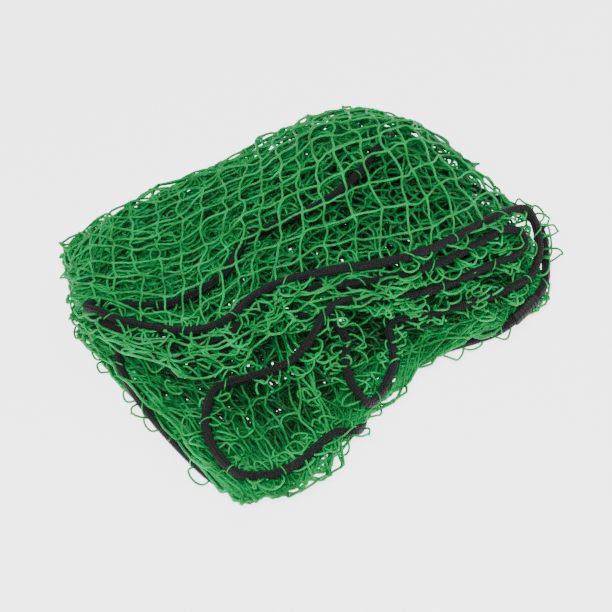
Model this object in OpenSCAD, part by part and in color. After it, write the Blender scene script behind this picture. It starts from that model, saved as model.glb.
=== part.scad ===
// Cargo climbing net, folded into a pile: square-mesh netting with a border rope
// threaded through its edge meshes. The pile is one net folded in four strips and
// five panels, so it is twenty layers deep. Millimetres, +Z up, origin on the floor.

/* [Pile] */
// Length that the pile's stations are percentages of, left to right
pile_l = 600; // [480:10:760]
// Depth that the pile's stations are percentages of, front to back
pile_d = 500; // [400:10:640]
// Height that the pile's stations are percentages of
pile_h = 170; // [140:5:220]
// Clear gap between neighbouring layers
layer_gap = 0.4; // [0.3:0.1:0.6]
// How far the ends of neighbouring layers are stepped back
layer_step = 5; // [0:1:8]

/* [Border rope] */
// Diameter of the border rope
rope_d = 12; // [8:1:14]
// Clearance between the rope and what it lies on
rope_clear = 0.5; // [0.3:0.1:1]
// Gap between the rope's runs where they lie side by side along the front hem
hem_gap = 1.5; // [1:0.5:3]
// Gap between the rope's runs folded away on the floor under the front
floor_gap = 2.5; // [2:0.5:4]
// How far the first floor run lies inside the front rim
floor_cover = 22; // [20:1:30]

/* [Rope joint] */
// Length of the seizing that joins the rope's two ends
joint_l = 46; // [30:2:60]
// Wall thickness of the seizing
joint_wall = 2.4; // [1.5:0.1:4]
// Height of each ridge of the seizing
joint_ridge = 0.6; // [0.3:0.1:1]

/* [Hidden] */
netting_green = [0.10, 0.60, 0.30];
rope_black = [0.13, 0.12, 0.12];

// Spacing of the rope's runs, and the room that its runs up and down the pile's
// two side edges take.
hem_pitch = rope_d + hem_gap;
floor_pitch = rope_d + floor_gap;
side_room = 2 * rope_d + 1;
// The net is folded into strips across its width and panels along its length.
panels = 5;
lower_layers = 15;
top_layers = 5;
// Each layer is a grid of this many cells, left to right and front to back.
cells_s = 12;
cells_t = 10;
rope_sides = 8;
rope_steps = 2;

// Stations of the pile, in percent of its length, depth and height.
// Each is [x, y, height of the lower layers, height of the whole pile].
// Rows run from the front rim, by the top hem and the crown, to the back rim.
stations = [
    [[-37, -47, 13, 15], [-25, -51, 13, 16], [-11, -46, 14, 17], [3, -33, 15, 20],
     [20, -30, 17, 24], [37, -30, 17, 24], [50, -27, 16, 22]],
    [[-43, 15, 18, 30], [-27, -1, 20, 38], [-12, -4, 28, 50], [3, -8, 34, 61],
     [20, -12, 38, 66], [37, -12, 36, 65], [54, -9, 30, 56]],
    [[-40, 33, 22, 38], [-25, 30, 25, 46], [-8, 28, 30, 53], [8, 26, 40, 75],
     [23, 25, 50, 99], [38, 21, 52, 97], [50, 12, 36, 63]],
    [[-36, 50, 17, 28], [-22, 53, 19, 38], [-7, 53, 22, 45], [8, 51, 30, 52],
     [23, 48, 39, 72], [36, 42, 41, 77], [47, 27, 32, 61]]
];
hem_row = 1 / 3;
// Where the top hem lies, in percent of the way from the front rim to the back
// rim, at even steps from left to right.
top_hem = [38.5, 35, 33.5, 37, 36.5, 34, 33, 34.5, 35];
// Shares of the upper layers' height, at the hem and at the crown. The loose end
// panel, fourth of the five, stops short of the hem and lies in thick folds.
hem_shares = [0, 0.25, 0.5, 0.75, 0.75, 1];
crown_shares = [0, 0.11, 0.22, 0.33, 0.84, 1];
crown_start = 0.36;
crown_end = 0.46;
// Edge of the loose end panel, as [percent left to right, percent front to back].
// Its rope lies along this line.
loose_edge = [
    [6.5, 47], [11, 46.5], [17, 46], [25, 47], [32, 50], [38, 57.5], [46, 58.5],
    [59, 58], [70, 62], [77, 69], [84, 80], [88, 90], [90, 99]
];
loose_margin = 3.5;
loose_right = 0.86;
// The lowest of the upper layers spills over the front at the left.
spill_left = 0.12;
spill_front = 0.05;
spill_start = 0.3;
spill_end = 0.37;

function lerp(a, b, f) = a + (b - a) * f;
function smooth(x, a, b) = let (f = min(max((x - a) / (b - a), 0), 1)) f * f * (3 - 2 * f);
function unit(v) = v / norm(v);

// A smooth curve through evenly spaced stops p, at u from 0 to 1; it runs on
// straight past both ends.
function stop(p, i) =
    i < 0 ? 2 * p[0] - p[1] :
    i > len(p) - 1 ? 2 * p[len(p) - 1] - p[len(p) - 2] : p[i];
function bend(a, b, c, d, f) =
    f < 0 ? b + (c - a) / 2 * f :
    f > 1 ? c + (d - b) / 2 * (f - 1) :
    b + f / 2 * (c - a + f * (2 * a - 5 * b + 4 * c - d + f * (3 * (b - c) + d - a)));
function along(p, u) =
    let (n = len(p) - 1, i = min(max(floor(u * n), 0), n - 1))
    bend(stop(p, i - 1), p[i], p[i + 1], stop(p, i + 2), u * n - i);

// Place in the pile: s runs left to right and t front to back, both 0 to 1.
// Returns [x, y, height of the lower layers, height of the pile] in mm.
function place(s, t) =
    let (q = along([for (row = stations) along(row, s)], t) / 100)
    [q[0] * pile_l, q[1] * pile_d, q[2] * pile_h, q[3] * pile_h];
function plan(s, t) = let (q = place(s, t)) [q[0], q[1]];

// Where a line of constant s gets to, going mm towards the back from t.
function pace(s, t) = norm(plan(s, t + 0.01) - plan(s, t - 0.01)) / 0.02;
function go(s, t, mm) = t + mm / pace(s, t + mm / pace(s, t) / 2);
// The line of constant s crosses the hem and the rim at a slant, so a width
// measured square to them is longer along it by this factor.
function across(s, a, b) = 1 / abs(cross(unit(b - a), unit(plan(s, hem_row) - plan(s, 0))));
function hem_slant(s) = across(s, plan(s - 0.03, along(top_hem, s - 0.03) / 100),
                               plan(s + 0.03, along(top_hem, s + 0.03) / 100));
function rim_slant(s) = across(s, plan(s - 0.03, 0), plan(s + 0.03, 0));

// Height of the underside of layer k, counted from 0. The first panels stop
// behind the rope on the floor, so what covers them clears one rope thickness.
function level(s, t, k) =
    let (q = place(s, t), low = q[2], rise = q[3] - q[2],
         base = max(low / 3, rope_d + 3 * rope_clear),
         w = smooth(t, crown_start, crown_end),
         m = k - lower_layers)
    k <= panels ? base * k / panels :
    m <= 0 ? lerp(base, low, (k - panels) / (lower_layers - panels)) :
    low + rise * lerp(hem_shares[m], crown_shares[m], w);

// Front edge of layer k at s, as t. The layers stop short of the pile's sides by
// side_room, which the rope's runs up and down the two side edges take up.
floor_band = floor_cover + 5 * floor_pitch + rope_d / 2 + 8;
hem_seat = rope_d / 2 + 2.8;
function step(k, n) = layer_step * (k * n % 3);
function hem_line(s, width) = go(s, along(top_hem, s) / 100, -width * hem_slant(s));
function rim_line(s, width) = go(s, 0, width * rim_slant(s));
function front(k, s) =
    k < panels ? rim_line(s, floor_band + step(k, 2)) :
    k < lower_layers ? go(s, 0, step(k, 1)) :
    k == 15 ? lerp(spill_front, hem_line(s, 2 * hem_pitch + hem_seat + 2),
                   smooth(s, spill_start, spill_end)) :
    k == 16 ? hem_line(s, 2 * hem_pitch - hem_seat) :
    k == 17 ? hem_line(s, hem_pitch - hem_seat) :
    k == 18 ? (lookup(100 * s, loose_edge) + loose_margin) / 100 :
    hem_line(s, -hem_seat);
function left(k) = k == 15 ? spill_left : (side_room + step(k, 2)) / pile_l;
function right(k) = k == 18 ? loose_right : 1 - (side_room + step(k, 1)) / pile_l;
function back(k) = 1 - step(k + 1, 2) / pile_d;

// One layer of netting, as the plain closed solid that its twine fills.
module netting_layer(k) {
    row = cells_s + 1;
    half = row * (cells_t + 1);
    sides = [for (up = [1, 0], j = [0 : cells_t], i = [0 : cells_s])
        let (s = lerp(left(k), right(k), i / cells_s),
             t = lerp(front(k, s), back(k), j / cells_t),
             p = plan(s, t))
        [p[0], p[1], up == 1 ? level(s, t, k + 1) - layer_gap : level(s, t, k)]];
    skins = [for (j = [0 : cells_t - 1], i = [0 : cells_s - 1])
        let (a = j * row + i, b = a + 1, c = a + row + 1, d = a + row)
        each [[a, c, b], [a, d, c], [half + a, half + b, half + c], [half + a, half + c, half + d]]];
    rim = concat(
        [for (i = [0 : cells_s - 1]) i],
        [for (j = [0 : cells_t - 1]) j * row + cells_s],
        [for (i = [cells_s : -1 : 1]) cells_t * row + i],
        [for (j = [cells_t : -1 : 1]) j * row]);
    walls = [for (n = [0 : len(rim) - 1])
        let (a = rim[n], b = rim[(n + 1) % len(rim)])
        each [[a, b, half + b], [a, half + b, half + a]]];
    color(netting_green) polyhedron(sides, concat(skins, walls));
}

// A point of the rope's centre line: percent left to right, percent front to
// back, number of layers under it, and how far it is lifted off them.
function lie(p) =
    let (s = p[0] / 100, t = p[1] / 100, q = plan(s, t))
    [q[0], q[1], level(s, t, p[2]) + rope_d / 2 + rope_clear + (len(p) > 3 ? p[3] : 0)];
function on_hem(s, slot, k) = [s, 100 * hem_line(s / 100, slot * hem_pitch), k, 0.5];
function on_floor(s, n) = [s, 100 * rim_line(s / 100, floor_cover + n * floor_pitch), 0];

// The rope's route, once round the net's edge from the joint to the joint.
right_loop = [
    [98, -1.2, 0, 22], [101.6, 3, 0, 23], [103.4, 12, 0, 28], [104.2, 21, 0, 36],
    [104, 30, 0, 47], [102.6, 38, 0, 58], [100.6, 47, 0, 65]
];
right_edge = [
    [99.4, 58, 0, 65], [99.4, 72, 0, 62], [99.6, 83, 0, 58], [99.8, 90, 0, 54],
    [100, 94.5, 0, 47], [99.8, 90, 0, 40], [99.4, 83, 0, 37], [99, 70, 0, 37],
    [99, 58, 0, 38], [99, 48, 0, 38], [99.6, 40, 0, 36], [100, 35, 0, 27],
    [99.6, 39, 0, 18], [99, 50, 0, 14], [99, 66, 0, 12], [99.4, 82, 0, 13],
    [99.8, 96, 0, 20], [98.5, 106, 0, 33], [95.5, 107.5, 0, 53], [92, 106, 0, 77]
];
loose_run = [for (n = [len(loose_edge) - 1 : -1 : 0])
    [loose_edge[n][0], loose_edge[n][1], 18, lerp(0.3, 2.2, smooth(loose_edge[n][0], 5, 30))]];
left_turn = [[2.8, 46.8, 18, 2], [0.8, 43.2, 18, 4], [2.4, 39.4, 18, 6]];
top_run = [for (s = [6 : 6.8 : 95]) on_hem(s, 0, 19)];
inner_loop = [
    [99.4, 34, 19], [101.2, 31, 0, 79], [101.8, 24, 0, 63], [101.2, 16, 0, 48],
    [99, 10, 0, 38.5], [95.5, 7.5, 15, 1], [87, 8.5, 15, 1], [79, 10.5, 15, 1],
    [71, 12, 15, 1], [65, 14, 15, 1]
];
front_bight = [
    [61.5, 16.5, 15, 2], [59, 14, 15, 1], [57.5, 6, 15, 2], [55.8, -0.5, 0, 31],
    [52.5, -4.4, 0, 26], [48, -5.4, 0, 24], [44.2, -3.6, 0, 31], [42.8, 0, 0, 39],
    [43.6, 5, 15, 6], [46, 11, 15, 1], [49.2, 16, 15, 1], [49.3, 20.8, 15, 4]
];
second_run = concat([[48, 25.4, 16, 2], [44, 27.6, 16, 1]],
                    [for (s = [38 : -6 : 8]) on_hem(s, 2, 16)]);
left_drop = [
    [3.8, 30.5, 0, 32], [0.6, 26.5, 0, 23], [-1.2, 20, 0, 15], [-1.8, 14, 0, 9],
    [-1.4, 8.5, 0, 3.5], [-0.2, 4.6, 0, 0], [2.4, 2.5, 0, 0]
];
floor_stops = [7, 11, 18, 29, 43, 57, 71, 82, 89, 93];
floor_turn = [[95, 0.22], [95, 0.78]];
floor_runs = [for (n = [0 : 5])
    each concat(
        [for (s = floor_stops) on_floor(n % 2 == 0 ? s : 100 - s, n)],
        [for (p = n < 5 ? floor_turn : []) on_floor(n % 2 == 0 ? p[0] : 100 - p[0], n + p[1])])];
left_edge = [
    [2, 12.2, 0, 0], [1.2, 16, 0, 0], [1.6, 23, 0, 0], [2, 32, 0, 0], [2.2, 45, 0, 0],
    [2.2, 60, 0, 0], [2.2, 75, 0, 0], [2.2, 86, 0, 1], [2.2, 92, 0, 5], [2.2, 95.5, 0, 13],
    [2.2, 92, 0, 21], [2.2, 85, 0, 25], [2.2, 73, 0, 26], [2.2, 60, 0, 26],
    [1.8, 50, 0, 28], [1.3, 41.5, 0, 31], [2.4, 36.4, 17, 0]
];
third_run = [for (s = [6 : 6.8 : 88]) on_hem(s, 1, 17)];
right_turn = [[93.5, 30.5, 17, 2], [97.2, 26.5, 16, 9], [97.2, 21.5, 16, 4], [93, 19.5, 16, 2]];
front_run = [
    [89, 21, 16, 1], [83, 22, 16, 1], [76, 22, 16, 1], [68, 23, 16, 1], [60, 25, 16, 3],
    [53.5, 27, 16, 11], [47.5, 25, 16, 16], [41.5, 21, 16, 11], [35, 19.5, 16, 3],
    [28, 20, 16, 1], [20, 21.5, 16, 1], [14.5, 20.5, 16, 1], [10.5, 17, 16, 1]
];
front_loop = [
    [6.8, 13, 15, 1], [4.3, 9.2, 15, 1], [3.2, 5.8, 15, 1], [3.8, 3.2, 15, 1],
    [7, 2.2, 15, 1], [13, 2, 15, 1], [20, 2.2, 15, 1], [27, 2.6, 15, 1], [32.5, 1.8, 15, 2],
    [36.5, -1.4, 0, 23], [40.5, -2.2, 0, 9], [45, -1, 0, 1], [50, 0.8, 0, 0],
    [56, 1.6, 0, 0], [63, 1.6, 0, 0], [70, 1, 0, 0.5], [76, -1.2, 0, 2], [80, -3.2, 0, 6.5],
    [83, -4.2, 0, 12]
];
joint_at = lie([91, -3, 0, 18]);
joint_way = unit(lie(right_loop[0]) - lie(front_loop[len(front_loop) - 1]));
joint_end = joint_l / 2 + 4;
rope_route = concat(
    [joint_at + joint_way, joint_at + joint_way * joint_end],
    [for (p = concat(right_loop, right_edge, loose_run, left_turn, top_run, inner_loop,
                     front_bight, second_run, left_drop, floor_runs, left_edge, third_run,
                     right_turn, front_run, front_loop)) lie(p)],
    [joint_at - joint_way * joint_end, joint_at - joint_way]);

// The border rope, swept along its route with a section that doesn't twist.
module border_rope() {
    stops = len(rope_route) - 1;
    rings = stops * rope_steps;
    path = [for (i = [0 : rings]) along(rope_route, i / rings)];
    ways = [for (i = [0 : rings]) unit(path[min(i + 1, rings)] - path[max(i - 1, 0)])];
    first = unit(cross(ways[0], [0, 0, 1]));
    across = [for (i = 0, v = first; i <= rings; i = i + 1,
                   v = i > rings ? v : unit(v - (v * ways[i]) * ways[i])) v];
    skin = [for (i = [0 : rings], a = [0 : rope_sides - 1])
        let (v = across[i], w = cross(ways[i], v), turn = 360 * a / rope_sides)
        path[i] + rope_d / 2 * (v * cos(turn) + w * sin(turn))];
    wall = [for (i = [0 : rings - 1], a = [0 : rope_sides - 1])
        let (b = (a + 1) % rope_sides, p = i * rope_sides, q = p + rope_sides)
        each [[p + a, q + b, p + b], [p + a, q + a, q + b]]];
    last = rings * rope_sides;
    caps = [[for (a = [0 : rope_sides - 1]) a],
            [for (a = [rope_sides - 1 : -1 : 0]) last + a]];
    color(rope_black) polyhedron(skin, concat(wall, caps));
}

// The seizing: a ridged sleeve of tight twine turns round the rope's two ends.
module rope_end_seizing() {
    bore_r = rope_d / 2 + rope_clear;
    wall_r = bore_r + joint_wall;
    ridges = 8;
    pitch = joint_l / ridges;
    tilt = acos(joint_way[2]);
    turn = atan2(joint_way[1], joint_way[0]);
    color(rope_black) translate(joint_at) rotate([0, tilt, turn])
    translate([0, 0, -joint_l / 2]) difference() {
        union() {
            cylinder(h = joint_l, r = wall_r - joint_ridge, $fn = 48);
            for (n = [0 : ridges - 1]) translate([0, 0, (n + 0.2) * pitch])
                cylinder(h = pitch * 0.6, r = wall_r, $fn = 48);
        }
        translate([0, 0, -1]) cylinder(h = joint_l + 2, r = bore_r, $fn = 48);
    }
}

netting_layer(0);  // netting_layer_01
netting_layer(1);  // netting_layer_02
netting_layer(2);  // netting_layer_03
netting_layer(3);  // netting_layer_04
netting_layer(4);  // netting_layer_05
netting_layer(5);  // netting_layer_06
netting_layer(6);  // netting_layer_07
netting_layer(7);  // netting_layer_08
netting_layer(8);  // netting_layer_09
netting_layer(9);  // netting_layer_10
netting_layer(10);  // netting_layer_11
netting_layer(11);  // netting_layer_12
netting_layer(12);  // netting_layer_13
netting_layer(13);  // netting_layer_14
netting_layer(14);  // netting_layer_15
netting_layer(15);  // netting_layer_16
netting_layer(16);  // netting_layer_17
netting_layer(17);  // netting_layer_18
netting_layer(18);  // netting_layer_19
netting_layer(19);  // netting_layer_20
border_rope();
rope_end_seizing();
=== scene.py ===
import math

import bmesh
import bpy
import numpy as np
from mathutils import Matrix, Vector


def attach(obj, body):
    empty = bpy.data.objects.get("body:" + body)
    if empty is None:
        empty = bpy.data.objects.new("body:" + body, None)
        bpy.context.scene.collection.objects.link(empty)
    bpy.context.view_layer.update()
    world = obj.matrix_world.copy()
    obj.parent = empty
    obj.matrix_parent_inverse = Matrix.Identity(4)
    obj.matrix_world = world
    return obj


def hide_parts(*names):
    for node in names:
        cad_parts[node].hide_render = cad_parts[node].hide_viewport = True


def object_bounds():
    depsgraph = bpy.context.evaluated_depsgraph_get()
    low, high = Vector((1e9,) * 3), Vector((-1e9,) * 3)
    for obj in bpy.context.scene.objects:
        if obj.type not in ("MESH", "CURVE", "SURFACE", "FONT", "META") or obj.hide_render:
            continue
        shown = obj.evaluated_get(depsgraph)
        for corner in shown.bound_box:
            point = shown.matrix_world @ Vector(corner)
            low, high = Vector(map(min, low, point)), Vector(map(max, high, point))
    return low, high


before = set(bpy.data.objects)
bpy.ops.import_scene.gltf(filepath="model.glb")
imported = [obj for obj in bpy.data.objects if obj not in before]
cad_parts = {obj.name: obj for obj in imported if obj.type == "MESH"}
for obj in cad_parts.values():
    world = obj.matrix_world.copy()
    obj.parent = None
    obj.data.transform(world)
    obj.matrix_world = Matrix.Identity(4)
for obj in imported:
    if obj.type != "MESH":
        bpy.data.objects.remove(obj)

bl_info = {
    "name": "Folded cargo net",
    "version": (1, 0, 0),
    "blender": (4, 5, 0),
    "location": "3D View > Sidebar > Cargo net",
    "description": "Knotted square-mesh netting with a laced border rope, folded into a pile",
    "category": "Object",
}

MM = 0.001
CAD_BOX = [list(corner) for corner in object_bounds()]
LAYERS = ["netting_layer_%02d" % (n + 1) for n in range(20)]

# The pile's stations, in percent of 600 x 500 x 170 mm: x, y, height of the
# lower layers and height of the pile, by rows from the front rim to the back.
PILE = np.array([600.0, 500.0, 170.0, 170.0])
STATIONS = np.array([
    [[-37, -47, 13, 15], [-25, -51, 13, 16], [-11, -46, 14, 17], [3, -33, 15, 20],
     [20, -30, 17, 24], [37, -30, 17, 24], [50, -27, 16, 22]],
    [[-43, 15, 18, 30], [-27, -1, 20, 38], [-12, -4, 28, 50], [3, -8, 34, 61],
     [20, -12, 38, 66], [37, -12, 36, 65], [54, -9, 30, 56]],
    [[-40, 33, 22, 38], [-25, 30, 25, 46], [-8, 28, 30, 53], [8, 26, 40, 75],
     [23, 25, 50, 99], [38, 21, 52, 97], [50, 12, 36, 63]],
    [[-36, 50, 17, 28], [-22, 53, 19, 38], [-7, 53, 22, 45], [8, 51, 30, 52],
     [23, 48, 39, 72], [36, 42, 41, 77], [47, 27, 32, 61]],
], dtype=float)
TOP_HEM = np.array([38.5, 35, 33.5, 37, 36.5, 34, 33, 34.5, 35])
LOOSE_EDGE = np.array([
    [6.5, 47], [11, 46.5], [17, 46], [25, 47], [32, 50], [38, 57.5], [46, 58.5],
    [59, 58], [70, 62], [77, 69], [84, 80], [88, 90], [90, 99]], dtype=float)
HEM_SHARES = np.array([0, 0.25, 0.5, 0.75, 0.75, 1])
CROWN_SHARES = np.array([0, 0.11, 0.22, 0.33, 0.84, 1])
ROPE_D, ROPE_CLEAR, HEM_PITCH, FLOOR_PITCH, FLOOR_COVER = 12.0, 0.5, 13.5, 14.5, 22.0

# Sides of the rope's tube, in the CAD node and here.
CAD_ROPE_SIDES, ROPE_SIDES = 8, 14

# The net is 68 by 100 meshes: four strips of 17 rows, five panels of 20 columns.
ROWS, COLS, STRIPS, PANELS = 17, 20, 4, 5
FLOOR_BAND = FLOOR_COVER + 5 * FLOOR_PITCH + ROPE_D / 2
# Spacing of the knots in mm, in the flat net as cut and on the folded top sheet.
CUT_MESH, MESH = 30.0, 27.0
# A panel's width between its two side folds, in mm.
PANEL_W = 560.0
# Where the side folds and the back fold lie, as shares of the way across.
EDGE_W, EDGE_E, EDGE_B = 0.004, 0.996, 0.99
# Layers that lie by name: the top sheet, the loose end panel, and the two below it.
TOP, LOOSE, ROLLED = 19, 18, (16, 17)
# Where, left to right, the edge rows stop rolling forward over their rope.
ROLL_STOP = (0.50, 0.70)
# The layer that each panel's part of each strip makes, from the floor up.
LAYER_OF = ((1, 0, 2, 3, 4), (8, 9, 7, 6, 5), (11, 10, 12, 13, 14), (18, 19, 17, 16, 15))


def smooth(x, a, b):
    f = np.clip((x - a) / (b - a), 0, 1)
    return f * f * (3 - 2 * f)


def along(p, u):
    """A smooth curve through evenly spaced stops p, at each u from 0 to 1."""
    n = len(p) - 1
    u = np.asarray(u, dtype=float) * n
    i = np.clip(np.floor(u).astype(int), 0, n - 1)
    ends = np.concatenate([[2 * p[0] - p[1]], p, [2 * p[n] - p[n - 1]]])
    a, b, c, d = ends[i], ends[i + 1], ends[i + 2], ends[i + 3]
    f = (u - i).reshape(u.shape + (1,) * (a.ndim - u.ndim))
    mid = b + f / 2 * (c - a + f * (2 * a - 5 * b + 4 * c - d + f * (3 * (b - c) + d - a)))
    return np.where(f < 0, b + (c - a) / 2 * f, np.where(f > 1, c + (d - b) / 2 * (f - 1), mid))


def place(s, t):
    """x, y, height of the lower layers and height of the pile in mm, at s and t."""
    s, t = np.broadcast_arrays(np.asarray(s, float), np.asarray(t, float))
    rows = np.stack([along(row, s.ravel()) for row in STATIONS], axis=0)
    t1 = t.ravel() * 3
    i = np.clip(np.floor(t1).astype(int), 0, 2)
    ends = np.concatenate([[2 * rows[0] - rows[1]], rows, [2 * rows[3] - rows[2]]])
    k = np.arange(len(t1))
    a, b, c, d = ends[i, k], ends[i + 1, k], ends[i + 2, k], ends[i + 3, k]
    f = (t1 - i)[:, None]
    mid = b + f / 2 * (c - a + f * (2 * a - 5 * b + 4 * c - d + f * (3 * (b - c) + d - a)))
    q = np.where(f < 0, b + (c - a) / 2 * f, np.where(f > 1, c + (d - b) / 2 * (f - 1), mid))
    return (q / 100 * PILE).reshape(s.shape + (4,))


def plan(s, t):
    return place(s, t)[..., :2]


def level(s, t, k):
    """Height of the underside of layer k, in mm."""
    q = place(s, t)
    low, rise = q[..., 2], q[..., 3] - q[..., 2]
    base = np.maximum(low / 3, ROPE_D + 3 * ROPE_CLEAR)
    if k <= 5:
        return base * k / 5
    if k <= 15:
        return base + (low - base) * (k - 5) / 10
    w = smooth(np.asarray(t, float), 0.36, 0.46)
    at = k - 15
    i = min(int(at), 4)
    hem = HEM_SHARES[i] + (HEM_SHARES[i + 1] - HEM_SHARES[i]) * (at - i)
    crown = CROWN_SHARES[i] + (CROWN_SHARES[i + 1] - CROWN_SHARES[i]) * (at - i)
    return low + rise * (hem + (crown - hem) * w)


def go(s, t, mm):
    """Where a line of constant s gets to, going mm towards the back from t."""
    def pace(at):
        return np.linalg.norm(plan(s, at + 0.01) - plan(s, at - 0.01), axis=-1) / 0.02
    return t + mm / pace(t + mm / pace(t) / 2)


def slant(s, line):
    d = plan(s + 0.03, line(s + 0.03)) - plan(s - 0.03, line(s - 0.03))
    e = plan(s, 1 / 3) - plan(s, 0)
    cross = d[..., 0] * e[..., 1] - d[..., 1] * e[..., 0]
    return np.linalg.norm(d, axis=-1) * np.linalg.norm(e, axis=-1) / np.abs(cross)


def hem(s):
    return along(TOP_HEM, s) / 100


def rim(s):
    return np.zeros_like(s)


def hem_line(s, width):
    return go(s, hem(s), -width * slant(s, hem))


def rim_line(s, width):
    return go(s, rim(s), width * slant(s, rim))


def front_of(k, s):
    """Where layer k's front row of meshes lies: on its run of the rope, or at the fold."""
    if k < 5:
        return rim_line(s, 7.0 + 3.0 * k)
    if k < 15:
        return go(s, rim(s), 2.0 + 2.5 * (k % 3))
    if k == 15:
        return (-0.02 + (hem_line(s, 3 * HEM_PITCH + 4) + 0.02) * smooth(s, 0.30, 0.40))
    if k == 18:
        return np.interp(100 * s, LOOSE_EDGE[:, 0], LOOSE_EDGE[:, 1]) / 100
    return hem_line(s, {16: 2, 17: 1, 19: 0}[k] * HEM_PITCH)


def height_of(k, s, t):
    """Height of layer k's twine at s and t, in mm."""
    if k == 19:
        return level(s, t, 20) - 2.0
    if k < 5:
        # The lowest strip lies on the rope's runs on the floor, then drops behind them.
        flat = (level(s, t, k) + level(s, t, k + 1)) / 2
        behind = smooth(t, rim_line(s, FLOOR_BAND), rim_line(s, FLOOR_BAND + 25))
        return flat + (np.maximum(level(s, t, 5), ROPE_D + 2.5) - flat) * (1 - behind)
    return (level(s, t, k) + level(s, t, k + 1)) / 2


def ripple(rng, a, b, waves, reach):
    """A slow, seeded ripple over the mesh coordinates a and b."""
    out = np.zeros_like(a)
    for _ in range(waves):
        turn, phase = rng.uniform(0, 2 * np.pi, 2)
        size = rng.uniform(4.0, 9.0)
        out += np.sin((a * np.cos(turn) + b * np.sin(turn)) * 2 * np.pi / size + phase)
    return out * reach / waves ** 0.5


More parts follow.
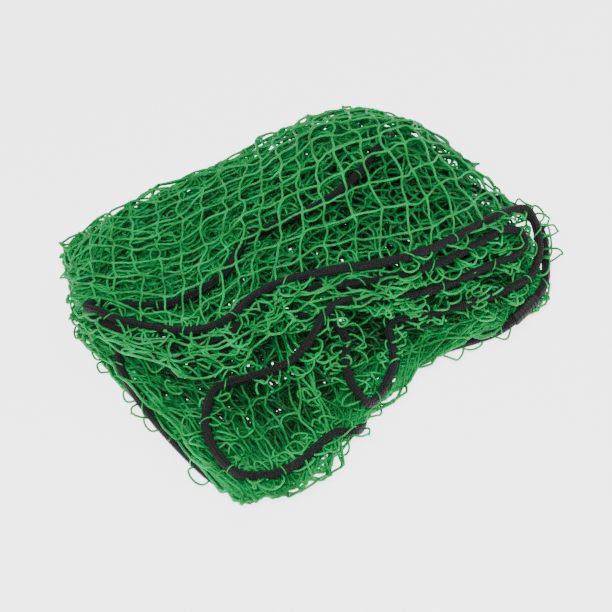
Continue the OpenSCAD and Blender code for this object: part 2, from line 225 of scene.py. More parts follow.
def patch_knots(q, p):
    """Knots of strip q in panel p, as an array [row, column, xyz] in mm."""
    k = LAYER_OF[q][p]
    rng = np.random.default_rng(100 + 10 * q + p)
    j, i = np.meshgrid(np.arange(ROWS + 1.0), np.arange(COLS + 1.0), indexing="ij")
    across = i / COLS if p % 2 else 1 - i / COLS
    deep = j / ROWS if q % 2 == 0 else 1 - j / ROWS
    # Half heights of the folds that this patch shares with its neighbours.
    near = LAYER_OF[q - 1][p] if q == 2 else LAYER_OF[q + 1][p] if q == 1 else None
    far = LAYER_OF[q + 1][p] if q in (0, 2) else LAYER_OF[q - 1][p]
    west = {0: 1, 1: 0, 2: 3, 3: 2}.get(p)
    east = {1: 2, 2: 1, 3: 4, 4: 3}.get(p)
    west = None if west is None else LAYER_OF[q][west]
    east = None if east is None else LAYER_OF[q][east]

    def half(other, s, t):
        if other is None:
            return np.full(np.shape(s), 1e-6)
        return np.abs(height_of(other, s, t) - height_of(k, s, t)) / 2 + 2.0

    hw, he = half(west, EDGE_W, deep), half(east, EDGE_E, deep)
    x = across * (hw + PANEL_W + he) - hw
    s = EDGE_W + (EDGE_E - EDGE_W) * np.clip(x / PANEL_W, 0, 1)
    gw, ge = np.clip(-x / hw, 0, 1), np.clip((x - PANEL_W) / he, 0, 1)
    front = front_of(k, s)
    hn, hf = half(near, s, front), half(far, s, EDGE_B)
    depth = np.linalg.norm(plan(s, EDGE_B) - plan(s, front), axis=-1)
    y = deep * (hn + depth + hf) - hn
    depth = np.maximum(depth, 1.0)
    tuck = np.zeros_like(y)
    from_edge = deep * ROWS
    roll = 1 - smooth(s, *ROLL_STOP)
    if k == TOP:
        # Whole meshes from the hem; the rows left over are tucked in at the back.
        spare = np.maximum(MESH * ROWS - depth, 1.0)
        past = np.clip((from_edge * MESH - depth) / spare, 0, 1)
        tuck = 1 - np.abs(2 * past - 1)
        y = np.where(past > 0, depth - tuck * spare * 0.42, from_edge * MESH)
    if k in ROLLED:
        # At the left the edge rows roll forward over the rope they are laced to.
        rolled = np.interp(from_edge, [0, 1, 2, 3, 4], [0, -21, -10, 7, 26])
        rolled = np.where(from_edge > 4, 26 + (depth - 26) * (from_edge - 4) / (ROWS - 4), rolled)
        y = y + (rolled - y) * roll
    f = np.clip(y / depth, -0.4, 1)
    gn, gf = np.clip(-y / hn, 0, 1), np.clip((y - depth) / hf, 0, 1)
    if k >= 15:
        gn = np.zeros_like(gn)
    # The mesh lines lean: they aren't square to the folds inside a panel.
    lean = {19: 0.10}.get(k, rng.uniform(0.04, 0.16) * (1 if k % 2 else -1))
    s_in = s + lean * (2 * f - 1) * np.sin(np.pi * np.clip(s, 0, 1) ** 0.85)
    front_in = front_of(k, s_in)
    t = front_in + (EDGE_B - front_in) * f
    flat = place(s_in, t)
    z = height_of(k, s_in, t)
    # The front row lies at the height of the rope that it is laced to.
    if k in (*ROLLED, LOOSE, TOP):
        on_rope = level(s_in, t, k) + ROPE_D / 2
        z = z + (on_rope - z) * np.clip(1 - np.abs(f) * 6, 0, 1)
        if k in ROLLED:
            over = np.interp(from_edge, [0, 1, 2, 3, 4, 5], [0, 1, 1, 0.7, 0.3, 0])
            z = z + (level(s_in, t, 17) + ROPE_D + 4 + 2 * (k - 16) - z) * over * roll
        z = z - tuck * 9
    # Under the crown the loose end panel and the two below it stand in pleats.
    room = level(s_in, t, 19) - 7 - level(s_in, t, 18)
    loose_at = np.interp(100 * s_in, LOOSE_EDGE[:, 0], LOOSE_EDGE[:, 1]) / 100
    if k == LOOSE:
        pleat = 0.30 + 0.70 * (0.5 - 0.5 * np.cos(2 * np.pi * (from_edge - 1) / 5))
        z = np.where(from_edge > 1, level(s_in, t, 18) + room * pleat, z)
    if k in ROLLED:
        pleat = 0.5 - 0.5 * np.cos(2 * np.pi * from_edge / (4.0 if k == 17 else 5.0) + 5 * s_in)
        under = smooth(t, 0.38, 0.46) * (1 - smooth(t, loose_at - 0.07, loose_at - 0.03))
        z = z + room * (0.85 if k == 17 else 0.6) * pleat * under
    for other, g, ss, tt in ((west, gw, EDGE_W, t), (east, ge, EDGE_E, t),
                             (near, gn, s_in, front_in), (far, gf, s_in, EDGE_B)):
        if other is not None:
            z = z + (height_of(other, ss, tt) - height_of(k, ss, tt)) / 2 * g
    ds = plan(s_in + 0.02, t) - plan(s_in - 0.02, t)
    dt = plan(s_in, t + 0.02) - plan(s_in, t - 0.02)
    ds /= np.linalg.norm(ds, axis=-1, keepdims=True)
    dt /= np.linalg.norm(dt, axis=-1, keepdims=True)
    bulge = [(2 + np.minimum(h, 40) * 0.38) * np.sin(g * np.pi / 2) for h, g in
             ((hw, gw), (he, ge), (hn, gn), (hf, gf))]
    to_west, to_east, to_front, to_back = (b[..., None] for b in bulge)
    xy = flat[..., :2] + ds * (to_east - to_west) + dt * (to_back - to_front)
    # The folds stand out in a lump at the back of the right side.
    lump = smooth(s_in, 0.82, 1.0) * smooth(t, 0.45, 0.75) * (1.0 if k >= 15 else 0.3)
    xy = xy + ds * 13 * lump[..., None] + dt * 9 * lump[..., None]
    # Crumple: slow ripples, and each knot a little off its place.
    loose = 2.1 if k == 19 else 2.4 if k >= 15 else 3.6
    shift = np.stack([ripple(rng, i, j, 4, 2.2 * loose), ripple(rng, i, j, 4, 2.2 * loose)], -1)
    xy = xy + shift + rng.normal(0, 1.5 * loose, shift.shape)
    up = {19: 1.6, 18: 4.0, 17: 3.0, 16: 3.0, 15: 3.5}.get(k, 1.5)
    z = z + ripple(rng, i, j, 3, up * 0.6) + rng.normal(0, up * 0.5, z.shape)
    # Painted shade: how open each knot lies to the light, at the top of the pile or at its sides,
    # sets how dark its twine is painted.
    top = np.where(t > hem(s_in) - 0.02, level(s_in, t, 20), level(s_in, t, 16) + 4)
    inside = np.minimum(np.minimum(s, 1 - s) * PANEL_W, np.minimum(1 - f, np.abs(f)) * depth)
    if k >= 15:
        inside = np.minimum(s, 1 - s) * PANEL_W
    fall = np.where(t > hem(s_in) - 0.02, 75.0, 15.0)
    shade = np.maximum(1 - (top - z) / fall, 1 - inside / 40)
    if k >= 15:
        shade = np.maximum(shade, 0.75 if k == 18 else 0.6)
    # Painted shade: the rows tucked in at the back are painted darker still.
    shade = np.where(tuck > 0, np.minimum(shade, 1 - 0.7 * tuck), shade)
    return np.dstack([xy, np.maximum(z, 2.0), np.clip(shade, 0, 1)])


def net_knots():
    """Every knot of the net, as an array [row, column, (x, y, z, shade)] in mm."""
    total = np.zeros((STRIPS * ROWS + 1, PANELS * COLS + 1, 4))
    count = np.zeros(total.shape[:2])
    for q in range(STRIPS):
        for p in range(PANELS):
            rows = slice(q * ROWS, (q + 1) * ROWS + 1)
            cols = slice(p * COLS, (p + 1) * COLS + 1)
            total[rows, cols] += patch_knots(q, p)
            count[rows, cols] += 1
    return total / count[..., None]


def reined_in(pts):
    """The points, in mm, with what stands far outside the pile's plan drawn in."""
    low, high = (np.array(corner)[:2] / MM for corner in CAD_BOX)
    flat = pts[..., :2]
    inner = np.clip(flat, low - 12, high + 12)
    return np.concatenate([inner + (flat - inner) * 0.35, pts[..., 2:]], axis=-1)


def slack_curls(rng, radius):
    """Slack meshes that stand up in curls on the front of the pile, and how open
    each lies to the light."""
    count, points = 95, 22
    s = rng.uniform(0.05, 0.93, count)
    t = rng.uniform(0.015, 0.27, count)
    place_at = place(s, t)
    high = level(s, t, 16) + rng.uniform(1.5, 7, count)
    middle = np.stack([place_at[:, 0], place_at[:, 1], high], -1)[:, None]
    each = (count, 1)
    turn = (np.linspace(0, 1, points)[None, :] * rng.uniform(4.2, 6.2, each)
            + rng.uniform(0, 6.3, each))
    long_way, short_way = rng.uniform(9, 17, each), rng.uniform(5, 10, each)
    heading = rng.uniform(0, np.pi, each)
    a, b = long_way * np.cos(turn), short_way * np.sin(turn)
    pts = middle + np.stack([a * np.cos(heading) - b * np.sin(heading),
                             a * np.sin(heading) + b * np.cos(heading),
                             rng.uniform(1, 4, each) * np.sin(2 * turn + heading)], -1)
    pts[..., 2] = np.maximum(pts[..., 2], radius + 0.1)
    return pts, np.full(pts.shape[:2], 1.0)


def unit(v):
    return v / np.maximum(np.linalg.norm(v, axis=-1, keepdims=True), 1e-12)


def tubes(lines, radii, sides):
    """Closed tubes along lines [line, point, xyz] with radii [line, point].
    Returns vertices, faces of four or more corners, and a UV in metres per corner."""
    n, m = lines.shape[:2]
    ways = np.empty_like(lines)
    ways[:, 1:-1] = lines[:, 2:] - lines[:, :-2]
    ways[:, 0], ways[:, -1] = lines[:, 1] - lines[:, 0], lines[:, -1] - lines[:, -2]
    ways = unit(ways)
    side = np.cross(ways[:, 0], [0.0, 0.0, 1.0])
    side = unit(np.where(np.linalg.norm(side, axis=-1, keepdims=True) < 1e-3,
                         np.cross(ways[:, 0], [1.0, 0.0, 0.0]), side))
    frames = np.empty_like(lines)
    for k in range(m):
        side = unit(side - (side * ways[:, k]).sum(-1, keepdims=True) * ways[:, k])
        frames[:, k] = side
    other = np.cross(ways, frames)
    turn = np.arange(sides) * 2 * np.pi / sides
    ring = (frames[:, :, None] * np.cos(turn)[:, None] + other[:, :, None] * np.sin(turn)[:, None])
    verts = (lines[:, :, None] + ring * radii[:, :, None, None]).reshape(-1, 3)
    base = np.arange(n)[:, None, None] * m * sides
    ring_at = base + np.arange(m - 1)[None, :, None] * sides
    a = ring_at + np.arange(sides)[None, None, :]
    b = ring_at + (np.arange(sides)[None, None, :] + 1) % sides
    quads = np.stack([a, b, b + sides, a + sides], -1).reshape(-1, 4)
    steps = np.linalg.norm(np.diff(lines, axis=1), axis=-1)
    run = np.concatenate([np.zeros((n, 1)), np.cumsum(steps, axis=1)], 1)
    u0 = np.broadcast_to((np.arange(sides) / sides)[None, None, :], (n, m - 1, sides))
    u1 = u0 + 1 / sides
    v0 = np.broadcast_to(run[:, :-1, None], (n, m - 1, sides))
    v1 = np.broadcast_to(run[:, 1:, None], (n, m - 1, sides))
    uv = np.stack([np.stack([u0, v0], -1), np.stack([u1, v0], -1),
                   np.stack([u1, v1], -1), np.stack([u0, v1], -1)], -2).reshape(-1, 2)
    ends = []
    for first in (True, False):
        at = base[:, 0] + (0 if first else (m - 1) * sides)
        order = np.arange(sides)[::-1] if first else np.arange(sides)
        ends.append(at + order[None, :])
    caps = np.concatenate(ends).astype(int)
    return verts, quads, caps, uv


class Twine:
    """Collects tubes and makes one mesh of them."""

    def __init__(self):
        self.verts, self.quads, self.caps, self.uvs, self.count = [], [], [], [], 0
        self.shades = []

    def add(self, lines, radii, sides, shade=None):
        verts, quads, caps, uv = tubes(lines, radii, sides)
        open_to_light = np.ones(lines.shape[:2]) if shade is None else shade
        self.shades.append(np.repeat(open_to_light.ravel(), sides))
        self.verts.append(verts)
        self.quads.append(quads + self.count)
        self.caps.append((caps + self.count, sides))
        self.uvs.append(uv)
        self.count += len(verts)

    def mesh(self, name, material, slot, nodes):
        verts = np.concatenate(self.verts) * MM
        quads = np.concatenate(self.quads)
        loops = [quads.ravel()] + [c.ravel() for c, _ in self.caps]
        sizes = [np.full(len(quads), 4)] + [np.full(len(c), n) for c, n in self.caps]
        flat = [np.zeros((c.size, 2)) for c, _ in self.caps]
        uv = np.concatenate(self.uvs + flat)
        uv[:, 1] *= MM
        loops, sizes = np.concatenate(loops), np.concatenate(sizes)
        mesh = bpy.data.meshes.new(name)
        mesh.vertices.add(len(verts))
        mesh.vertices.foreach_set("co", verts.astype(np.float32).ravel())
        mesh.loops.add(len(loops))
        mesh.loops.foreach_set("vertex_index", loops.astype(np.int32))
        mesh.polygons.add(len(sizes))
        starts = np.concatenate([[0], np.cumsum(sizes)[:-1]])
        mesh.polygons.foreach_set("loop_start", starts.astype(np.int32))
        mesh.update(calc_edges=True)
        layer = mesh.uv_layers.new(name="UVMap")
        layer.data.foreach_set("uv", uv.astype(np.float32).ravel())
        # Painted shade per vertex, which the twine's material multiplies into its colour.
        shade = mesh.attributes.new("shade", "FLOAT", "POINT")
        shade.data.foreach_set("value", np.concatenate(self.shades).astype(np.float32))
        mesh.polygons.foreach_set("use_smooth", np.ones(len(sizes), dtype=bool))
        mesh.validate()
        mesh.materials.append(material)
        obj = bpy.data.objects.new(name, mesh)
        bpy.context.scene.collection.objects.link(obj)
        if nodes:
            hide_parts(*nodes)
        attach(obj, "root")
        return obj


def lines_through(knots, fractions, slack, rng, upward=0.5):
    """Smooth lines through knots [line, knot, xyz], whose first and last knots
    only give direction. Each length between knots hangs slack to one side."""
    shades = None
    if knots.shape[-1] == 4:
        near, far = knots[:, 1:-2, None, 3], knots[:, 2:-1, None, 3]
        shades = near + (far - near) * np.array(fractions)[None, None, :]
        shades = np.concatenate([shades.reshape(len(knots), -1), knots[:, -2:-1, 3]], axis=1)
        knots = knots[..., :3]
    a, b, c, d = knots[:, :-3], knots[:, 1:-2], knots[:, 2:-1], knots[:, 3:]
    f = np.array(fractions)[None, None, :, None]
    a, b, c, d = (v[:, :, None] for v in (a, b, c, d))
    pts = b + f / 2 * (c - a + f * (2 * a - 5 * b + 4 * c - d + f * (3 * (b - c) + d - a)))
    way = unit(rng.normal(0, 1, (pts.shape[0], pts.shape[1], 1, 3)) * [1, 1, upward])
    amount = slack * rng.uniform(0.3, 1.3, (pts.shape[0], pts.shape[1], 1, 1))
    pts = pts + way * amount * np.sin(np.pi * f)
    curl = unit(rng.normal(0, 1, (pts.shape[0], pts.shape[1], 1, 3)) * [1, 1, upward])
    pts = pts + curl * slack * 0.35 * np.sin(2 * np.pi * f)
    n = pts.shape[0]
    line = np.concatenate([pts.reshape(n, -1, 3), knots[:, -2:-1]], axis=1)
    return line if shades is None else (line, shades)


def lin(code):
    """An sRGB hex colour as linear RGBA."""
    parts = [int(code[i:i + 2], 16) / 255 for i in (1, 3, 5)]
    linear = [c / 12.92 if c <= 0.04045 else ((c + 0.055) / 1.055) ** 2.4 for c in parts]
    return (*linear, 1.0)


def add(tree, kind, links=None, **settings):
    """Adds a node with its settings and the sockets that feed it."""
    node = tree.nodes.new(kind)
    for key, value in settings.items():
        if key.startswith("in_"):
            name = key[3:].replace("_", " ")
            socket = node.inputs[int(name) if name.isdigit() else name]
            socket.default_value = value
        else:
            setattr(node, key, value)
    for key, source in (links or {}).items():
        tree.links.new(source, node.inputs[key])
    return node


def ramp(tree, source, stops):
    node = add(tree, "ShaderNodeValToRGB", {"Fac": source})
    band = node.color_ramp
    while len(band.elements) < len(stops):
        band.elements.new(0.5)
    for element, (at, colour) in zip(band.elements, stops):
        element.position, element.color = at, colour
    return node


def surface(name):
    material = bpy.data.materials.new(name)
    material.use_nodes = True
    tree = material.node_tree
    tree.nodes.clear()
    shader = add(tree, "ShaderNodeBsdfPrincipled")
    add(tree, "ShaderNodeOutputMaterial", {"Surface": shader.outputs["BSDF"]})
    return material, tree, shader


def twine_material(settings):
    """Twisted polypropylene twine: three strands laid at a slant, with a waxy shine
    on each strand, and a colour that wanders from length to length. The grooves
    between strands carry painted shade, and twine deep in the pile is painted darker
    as painted shade."""
    material, tree, shader = surface("twisted_polypropylene_twine")
    uv = add(tree, "ShaderNodeUVMap", uv_map="UVMap")
    parts = add(tree, "ShaderNodeSeparateXYZ", {0: uv.outputs["UV"]})
    lay = settings.strand_lay * MM
    along_lay = add(tree, "ShaderNodeMath", {0: parts.outputs["Y"]}, operation="DIVIDE", in_1=lay)
    turns = add(tree, "ShaderNodeMath", {0: parts.outputs["X"]}, operation="MULTIPLY", in_1=3.0)
    phase = add(tree, "ShaderNodeMath", {0: along_lay.outputs[0], 1: turns.outputs[0]},
                operation="ADD")
    angle = add(tree, "ShaderNodeMath", {0: phase.outputs[0]},
                operation="MULTIPLY", in_1=2 * math.pi)
    wave = add(tree, "ShaderNodeMath", {0: angle.outputs[0]}, operation="SINE")
    strand = add(tree, "ShaderNodeMapRange", {"Value": wave.outputs[0]},
                 in_From_Min=-1.0, in_From_Max=1.0)
    coords = add(tree, "ShaderNodeTexCoord")
    patches = add(tree, "ShaderNodeTexNoise", {"Vector": coords.outputs["Object"]},
                  in_Scale=1 / (28 * MM), in_Detail=3.0)
    fibres = add(tree, "ShaderNodeTexNoise", {"Vector": coords.outputs["Object"]},
                 in_Scale=1 / (1.2 * MM), in_Detail=2.0)
    tone = ramp(tree, patches.outputs["Fac"], [
        (0.32, lin(settings.twine_deep)), (0.5, lin(settings.twine_green)),
        (0.68, lin(settings.twine_light))])
    # Painted shade in the grooves between the twine's strands.
    groove_shade = ramp(tree, strand.outputs["Result"], [
        (0.0, (0.42, 0.42, 0.42, 1)), (0.45, (1, 1, 1, 1))])
    # Painted shade: the 'shade' attribute darkens the twine's colour deep in the pile.
    painted_shade_attr = add(tree, "ShaderNodeAttribute", attribute_name="shade")
    depth = ramp(tree, painted_shade_attr.outputs["Fac"], [
        (0.0, (0.13, 0.16, 0.14, 1)), (0.5, (0.50, 0.54, 0.52, 1)), (1.0, (1, 1, 1, 1))])
    laid = add(tree, "ShaderNodeMixRGB", {1: tone.outputs["Color"], 2: groove_shade.outputs["Color"]},
               blend_type="MULTIPLY", in_0=0.8)
    colour = add(tree, "ShaderNodeMixRGB", {1: laid.outputs[0], 2: depth.outputs["Color"]},
                 blend_type="MULTIPLY", in_0=1.0)
    tree.links.new(colour.outputs[0], shader.inputs["Base Color"])
    height = add(tree, "ShaderNodeMath", {0: strand.outputs["Result"], 2: fibres.outputs["Fac"]},
                 operation="MULTIPLY_ADD", in_1=2.0)
    bump = add(tree, "ShaderNodeBump", {"Height": height.outputs[0]},
               in_Strength=0.5, in_Distance=0.4 * MM)
    tree.links.new(bump.outputs["Normal"], shader.inputs["Normal"])
    shader.inputs["Roughness"].default_value = 0.45
    shader.inputs["IOR"].default_value = 1.49
    shader.inputs["Specular IOR Level"].default_value = 0.3
    return material


def rope_material(settings):
    """Braided polypropylene rope: black, with small picks that cross at a slant and
    a pale fuzz rubbed up from them. The picks are painted darker between them as
    painted shade and lighter on their crowns as a painted highlight."""
    material, tree, shader = surface("braided_polypropylene_rope")
    uv = add(tree, "ShaderNodeUVMap", uv_map="UVMap")
    parts = add(tree, "ShaderNodeSeparateXYZ", {0: uv.outputs["UV"]})
    pick = settings.braid_pick * MM
    waves = []
    for way in (1.0, -1.0):
        scaled = add(tree, "ShaderNodeMath", {0: parts.outputs["Y"]},
                     operation="DIVIDE", in_1=pick * 2)
        turned = add(tree, "ShaderNodeMath", {0: parts.outputs["X"]},
                     operation="MULTIPLY", in_1=5.0 * way)
        both = add(tree, "ShaderNodeMath", {0: scaled.outputs[0], 1: turned.outputs[0]},
                   operation="ADD")
        angle = add(tree, "ShaderNodeMath", {0: both.outputs[0]},
                    operation="MULTIPLY", in_1=2 * math.pi)
        waves.append(add(tree, "ShaderNodeMath", {0: angle.outputs[0]}, operation="SINE"))
    braid = add(tree, "ShaderNodeMath", {0: waves[0].outputs[0], 1: waves[1].outputs[0]},
                operation="MULTIPLY")
    raised = add(tree, "ShaderNodeMapRange", {"Value": braid.outputs[0]},
                 in_From_Min=-1.0, in_From_Max=1.0)
    coords = add(tree, "ShaderNodeTexCoord")
    fuzz = add(tree, "ShaderNodeTexNoise", {"Vector": coords.outputs["Object"]},
               in_Scale=1 / (1.6 * MM), in_Detail=4.0, in_Roughness=0.7)
    wear = add(tree, "ShaderNodeTexNoise", {"Vector": coords.outputs["Object"]},
               in_Scale=1 / (30 * MM), in_Detail=2.0)
    # Painted shade between the braid's picks and a painted highlight on their crowns.
    braid_shade_and_highlight = ramp(tree, raised.outputs["Result"], [
        (0.25, lin(settings.rope_shade_and_grain)), (0.62, lin(settings.rope_black)),
        (0.95, lin(settings.rope_crown_highlight))])
    flecks = ramp(tree, fuzz.outputs["Fac"], [(0.56, (0, 0, 0, 1)), (0.72, (1, 1, 1, 1))])
    amount = add(tree, "ShaderNodeMath", {0: flecks.outputs["Color"], 1: wear.outputs["Fac"]},
                 operation="MULTIPLY")
    mix = add(tree, "ShaderNodeMixRGB", {0: amount.outputs[0], 1: braid_shade_and_highlight.outputs["Color"]},
              in_2=lin(settings.rope_fuzz))
    tree.links.new(mix.outputs[0], shader.inputs["Base Color"])
    bump = add(tree, "ShaderNodeBump", {"Height": raised.outputs["Result"]},
               in_Strength=1.0, in_Distance=1.4 * MM)
    tree.links.new(bump.outputs["Normal"], shader.inputs["Normal"])
    shader.inputs["Roughness"].default_value = 0.62
    shader.inputs["IOR"].default_value = 1.49
    shader.inputs["Specular IOR Level"].default_value = 0.22
    shader.inputs["Sheen Weight"].default_value = 0.03
    return material


def seizing_material(settings):
    """Tight turns of waxed black twine: a fine grain over the sleeve with a low shine."""
    material, tree, shader = surface("waxed_whipping_twine")
    coords = add(tree, "ShaderNodeTexCoord")
    grain = add(tree, "ShaderNodeTexNoise", {"Vector": coords.outputs["Object"]},
                in_Scale=1 / (2.0 * MM), in_Detail=4.0)
    tone = ramp(tree, grain.outputs["Fac"], [
        (0.4, lin(settings.rope_shade_and_grain)), (0.62, lin(settings.rope_black)),
        (0.72, lin(settings.rope_fuzz))])
    tree.links.new(tone.outputs["Color"], shader.inputs["Base Color"])
    bump = add(tree, "ShaderNodeBump", {"Height": grain.outputs["Fac"]},
               in_Strength=0.8, in_Distance=0.6 * MM)
    tree.links.new(bump.outputs["Normal"], shader.inputs["Normal"])
    shader.inputs["Roughness"].default_value = 0.6
    return material


class NettingSettings(bpy.types.PropertyGroup):
    twine_d: bpy.props.FloatProperty(
        name="Twine", description="Diameter of the twine, in mm",
        default=3.4)
    strand_lay: bpy.props.FloatProperty(
        name="Lay", description="Length of one turn of the twine's strands, in mm",
        default=9.0)
    knot_swell: bpy.props.FloatProperty(
        name="Knot", description="How much thicker the twine is at a knot",
        default=1.6)
    twine_green: bpy.props.StringProperty(
        name="Green", description="Colour of the twine",
        default="#00a34a")
    twine_deep: bpy.props.StringProperty(
        name="Deep green", description="Darker lengths of the twine",
        default="#008038")
    twine_light: bpy.props.StringProperty(
        name="Light green", description="Lighter lengths of the twine",
        default="#00b45e")


class RopeSettings(bpy.types.PropertyGroup):
    braid_pick: bpy.props.FloatProperty(
        name="Pick", description="Length of one pick of the braid, in mm",
        default=3.2)
    rope_black: bpy.props.StringProperty(
        name="Black", description="Colour of the rope",
        default="#100d0d")
    # Painted shade between the braid's picks; on the seizing, the darkest of its grain.
    rope_shade_and_grain: bpy.props.StringProperty(
        name="Deep black", description="Colour between the braid's picks",
        default="#030303")
    # Painted highlight on the braid's crowns.
    rope_crown_highlight: bpy.props.StringProperty(
        name="Worn black", description="Colour of the braid's rubbed crowns",
        default="#221d1d")
    rope_fuzz: bpy.props.StringProperty(
        name="Fuzz", description="Colour of the rubbed-up fibres",
        default="#4c6355")


class StageSettings(bpy.types.PropertyGroup):
    floor: bpy.props.StringProperty(
        name="Floor", description="Colour of the floor",
        default="#fafafa")


def rope_centres():
    """The border rope's centre line, ring by ring, from its CAD node."""
    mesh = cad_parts["border_rope"].data
    bm = bmesh.new()
    bm.from_mesh(mesh)
    bmesh.ops.remove_doubles(bm, verts=bm.verts, dist=1e-5)
    bm.verts.ensure_lookup_table()
    co = np.array([v.co[:] for v in bm.verts])
    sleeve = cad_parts["rope_end_seizing"].data
    pts = np.array([v.co[:] for v in sleeve.vertices])
    middle = (pts.min(0) + pts.max(0)) / 2
    near = np.argsort(np.linalg.norm(co - middle, axis=1))[:2 * CAD_ROPE_SIDES]
    spread = pts - middle
    axis = np.linalg.svd(spread.T @ spread)[0][:, 0]
    side = (co[near] - middle) @ axis
    first = [int(v) for v, d in zip(near, side) if d > 0]
    if len(first) != CAD_ROPE_SIDES:
        raise RuntimeError("the rope's first ring wasn't found")
    rings, seen = [first], set(first)
    while True:
        ring = []
        for index in rings[-1]:
            for edge in bm.verts[index].link_edges:
                other = edge.other_vert(bm.verts[index]).index
                if other not in seen:
                    seen.add(other)
                    ring.append(other)
        if not ring:
            break
        rings.append(ring)
    bm.free()
    if any(len(r) != CAD_ROPE_SIDES for r in rings):
        raise RuntimeError("the rope's rings weren't found")
    return np.array([co[r].mean(0) for r in rings])


class NET_OT_netting(bpy.types.Operator):
    """Makes the knotted netting, strip by strip"""
    bl_idname = "net.netting"
    bl_label = "Netting"

    def execute(self, context):
        cfg = context.scene.netting
        knots = net_knots()
        padded = np.pad(knots, ((1, 1), (1, 1), (0, 0)), mode="edge")
        padded[0], padded[-1] = 2 * padded[1] - padded[2], 2 * padded[-2] - padded[-3]
        padded[:, 0] = 2 * padded[:, 1] - padded[:, 2]
        padded[:, -1] = 2 * padded[:, -2] - padded[:, -3]
        material = twine_material(cfg)
        radius = cfg.twine_d / 2
        groups = [("netting_strip_1", [(0, p) for p in range(PANELS)]),
                  ("netting_strip_2", [(1, p) for p in range(PANELS)]),
                  ("netting_strip_3", [(2, p) for p in range(PANELS)]),
                  ("netting_strip_4", [(3, p) for p in (0, 2)]),
                  ("netting_strip_4_front", [(3, 3), (3, 4)]), ("netting_top", [(3, 1)])]
        for name, patches in groups:
            twine = Twine()
            nodes = []
            for q, p in patches:
                k = LAYER_OF[q][p]
                nodes.append(LAYERS[k])
                rng = np.random.default_rng(500 + k)
                if k == 19:
                    cuts, sides, slack = [0, 0.07, 0.2, 0.4, 0.6, 0.8, 0.93, 1], 6, 4.2
                elif k >= 15:
                    cuts, sides, slack = [0, 0.08, 0.29, 0.5, 0.71, 0.92, 1], 6, 8.0
                elif k >= 10:
                    cuts, sides, slack = [0, 0.1, 0.37, 0.63, 0.9, 1], 5, 7.0
                else:
                    cuts, sides, slack = [0, 0.12, 0.5, 0.88, 1], 4, 4.5
                rows = padded[q * ROWS:(q + 1) * ROWS + 3, p * COLS:(p + 1) * COLS + 3]
                inner = rows[1:-1]
                # A row or column that two patches share is made with the later one.
                run = inner if q == STRIPS - 1 else inner[:-1]
                files = np.swapaxes(rows[:, 1:-1], 0, 1)
                for lines in (run, files if p == PANELS - 1 else files[:-1]):
                    upward = 0.25 if k >= 15 else 0.5
                    pts, shade = lines_through(lines, cuts[:-1], slack, rng, upward)
                    knot_gap = len(cuts) - 1
                    swell = np.ones(pts.shape[1])
                    swell[::knot_gap] = cfg.knot_swell
                    for step in (1, knot_gap - 1):
                        swell[step::knot_gap] = 1 + (cfg.knot_swell - 1) * 0.35
                    # The strips underneath lie doubled and twisted together.
                    doubled = 1.3 if k < 10 else 1.0
                    radii = np.broadcast_to(radius * doubled * swell, pts.shape[:2])
                    pts[..., 2] = np.maximum(pts[..., 2], radii + 0.1)
                    pts = reined_in(pts)
                    twine.add(pts, radii, sides, shade)
            if name == "netting_strip_4_front":
                curls, shade = slack_curls(np.random.default_rng(31), radius)
                twine.add(curls, np.full(curls.shape[:2], radius * 0.95), 6, shade)
            piece = twine.mesh(name, material, "netting_twine", nodes)
        return {"FINISHED"}


class NET_OT_border_rope(bpy.types.Operator):
    """Makes the border rope along its route"""
    bl_idname = "net.border_rope"
    bl_label = "Border rope"

    def execute(self, context):
        cfg = context.scene.border_rope
        centres = rope_centres() * 1000
        ends = np.concatenate([[2 * centres[0] - centres[1]], centres,
                               [2 * centres[-1] - centres[-2]]])[None]
        line = lines_through(ends, [0, 0.34, 0.67], 0.0, np.random.default_rng(1))
        twine = Twine()
        twine.add(line, np.full(line.shape[:2], ROPE_D / 2), ROPE_SIDES)
        rope = twine.mesh("border_rope_braid", rope_material(cfg), "border_rope", ["border_rope"])
        return {"FINISHED"}


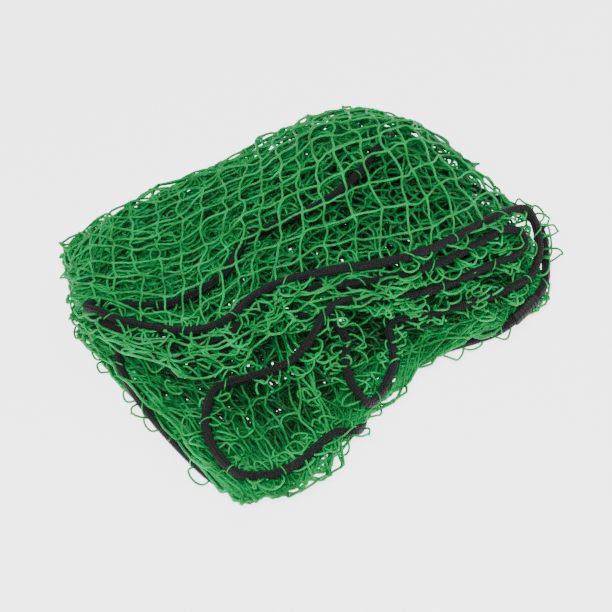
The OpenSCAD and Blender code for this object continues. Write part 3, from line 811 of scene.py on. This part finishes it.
class NET_OT_lacing(bpy.types.Operator):
    """Makes the loops of twine that lace the net's edge meshes to the border rope"""
    bl_idname = "net.lacing"
    bl_label = "Lacing"

    def execute(self, context):
        cfg = context.scene.netting
        centres = rope_centres() * 1000
        arc = np.concatenate([[0], np.cumsum(np.linalg.norm(np.diff(centres, axis=0), axis=1))])
        rng = np.random.default_rng(77)
        clear_ends, lace_gap = 40, 27.0
        stops = np.arange(clear_ends, arc[-1] - clear_ends, lace_gap)
        stops = stops + rng.uniform(-9, 9, len(stops))

        def on_rope(run):
            at = np.stack([np.interp(run, arc, centres[:, i]) for i in range(3)], -1)
            ahead = np.stack([np.interp(run + 4, arc, centres[:, i]) for i in range(3)], -1)
            way = unit(ahead - at)
            side = unit(np.cross(way, [0, 0, 1.0]))
            return at, way, side, np.cross(side, way)

        wraps = stops[::3] + rng.uniform(-10, 10, len(stops[::3]))
        at, way, side, up = on_rope(wraps)
        turn = np.linspace(-2.3, 2.3, 13)[None, :, None]
        radius = cfg.twine_d / 2 * 0.85
        reach = ROPE_D / 2 + radius * 0.4
        lean = rng.uniform(-16, 16, (len(wraps), 1, 1))
        spin = rng.uniform(-0.7, 0.7, (len(wraps), 1, 1))
        round_rope = (at[:, None] + side[:, None] * np.sin(turn + spin) * reach
                      + up[:, None] * np.cos(turn + spin) * reach
                      + way[:, None] * lean * np.sin(turn / 2.0))
        # Slack edge meshes stand out beside the rope as curled loops.
        runs = np.linspace(0, 1, 15)[None, :]
        wide = rng.uniform(14, 34, (len(stops), 1))
        along_rope = stops[:, None] + (runs - 0.5) * wide
        flat_run = on_rope(along_rope.ravel())
        base, ways, sides, ups = (v.reshape(len(stops), -1, 3) for v in flat_run)
        hand = rng.choice([-1.0, 1.0], (len(stops), 1, 1))
        out = rng.uniform(10, 25, (len(stops), 1, 1))
        arch = np.sin(np.pi * runs)[..., None] ** 0.6
        skew = rng.uniform(-7, 7, (len(stops), 1, 1)) * np.sin(2 * np.pi * runs)[..., None]
        rise = rng.uniform(-5, 9, (len(stops), 1, 1))
        loops = (base + sides * hand * (5.5 + out * arch) + ways * skew * 1.2
                 + ups * (1.0 + rise * arch + 2.5 * np.sin(3 * np.pi * runs)[..., None]))
        twine = Twine()
        for pts, thick in ((round_rope, radius * 0.7), (loops, radius)):
            pts[..., 2] = np.maximum(pts[..., 2], radius + 0.1)
            twine.add(reined_in(pts), np.full(pts.shape[:2], thick), 6)
        twine.mesh("rope_lacing", bpy.data.materials["twisted_polypropylene_twine"],
                   "netting_twine", [])
        return {"FINISHED"}


class NET_OT_seizing(bpy.types.Operator):
    """Gives the seizing over the rope's joined ends its finish"""
    bl_idname = "net.seizing"
    bl_label = "Seizing"

    def execute(self, context):
        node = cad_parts["rope_end_seizing"]
        node.data.materials.clear()
        node.data.materials.append(seizing_material(context.scene.border_rope))
        return {"FINISHED"}


class NET_OT_stage(bpy.types.Operator):
    """Sets up the camera, the pale floor and soft studio light"""
    bl_idname = "net.stage"
    bl_label = "Camera, floor and light"

    def execute(self, context):
        scene = context.scene
        azimuth, elevation = math.radians(-30), math.radians(45)
        distance, view_width, sensor = 2.6, 0.816, 36
        back = Vector((math.sin(azimuth) * math.cos(elevation),
                       -math.cos(azimuth) * math.cos(elevation), math.sin(elevation)))
        right = Vector((math.cos(azimuth), math.sin(azimuth), 0))
        up = back.cross(right)
        target = right * 0.011 + up * 0.0205
        camera = bpy.data.cameras.new("camera")
        camera.sensor_width = sensor
        camera.lens = sensor * distance / view_width
        camera.clip_end = 50
        holder = bpy.data.objects.new("camera", camera)
        holder.location = target + back * distance
        holder.rotation_mode = "QUATERNION"
        holder.rotation_quaternion = (-back).to_track_quat("-Z", "Y")
        scene.collection.objects.link(holder)
        scene.camera = holder
        bpy.ops.mesh.primitive_plane_add(size=30, location=(0, 0, 0))
        floor = context.active_object
        floor.name = "floor"
        material, tree, shader = surface("pale_floor")
        shader.inputs["Base Color"].default_value = lin(scene.net_stage.floor)
        shader.inputs["Roughness"].default_value = 0.9
        shader.inputs["Specular IOR Level"].default_value = 0.1
        shader.inputs["Emission Color"].default_value = (1, 1, 1, 1)
        shader.inputs["Emission Strength"].default_value = 2.6
        floor.data.materials.append(material)
        world = bpy.data.worlds.new("studio")
        world.use_nodes = True
        world.node_tree.nodes["Background"].inputs["Color"].default_value = (1, 1, 1, 1)
        world.node_tree.nodes["Background"].inputs["Strength"].default_value = 0.5
        scene.world = world
        lamps = (("key", (-1.2, -1.6, 2.6), 1.2, 110), ("fill", (1.8, 0.6, 2.2), 2.0, 30))
        for name, place_at, size, power in lamps:
            lamp = bpy.data.lights.new(name, "AREA")
            lamp.size, lamp.energy = size, power
            obj = bpy.data.objects.new(name, lamp)
            obj.location = place_at
            obj.rotation_mode = "QUATERNION"
            obj.rotation_quaternion = (-Vector(place_at)).to_track_quat("-Z", "Y")
            scene.collection.objects.link(obj)
        return {"FINISHED"}


class NET_PT_panel(bpy.types.Panel):
    """Lists the steps that make the net"""
    bl_idname = "NET_PT_panel"
    bl_label = "Cargo net"
    bl_space_type = "VIEW_3D"
    bl_region_type = "UI"
    bl_category = "Cargo net"

    def draw(self, context):
        for step in STEPS:
            self.layout.operator(step)


STEPS = ("net.stage", "net.border_rope", "net.netting", "net.lacing", "net.seizing")
CLASSES = (NettingSettings, RopeSettings, StageSettings, NET_OT_stage, NET_OT_border_rope,
           NET_OT_netting, NET_OT_lacing, NET_OT_seizing, NET_PT_panel)


def register():
    for cls in CLASSES:
        bpy.utils.register_class(cls)
    bpy.types.Scene.netting = bpy.props.PointerProperty(type=NettingSettings)
    bpy.types.Scene.border_rope = bpy.props.PointerProperty(type=RopeSettings)
    bpy.types.Scene.net_stage = bpy.props.PointerProperty(type=StageSettings)


def unregister():
    del bpy.types.Scene.netting, bpy.types.Scene.border_rope, bpy.types.Scene.net_stage
    for cls in reversed(CLASSES):
        bpy.utils.unregister_class(cls)


def main():
    register()
    bpy.ops.object.select_all(action="DESELECT")
    bpy.ops.net.stage()
    bpy.ops.net.border_rope()
    bpy.ops.net.netting()
    bpy.ops.net.lacing()
    bpy.ops.net.seizing()


if __name__ == "__main__":
    main()
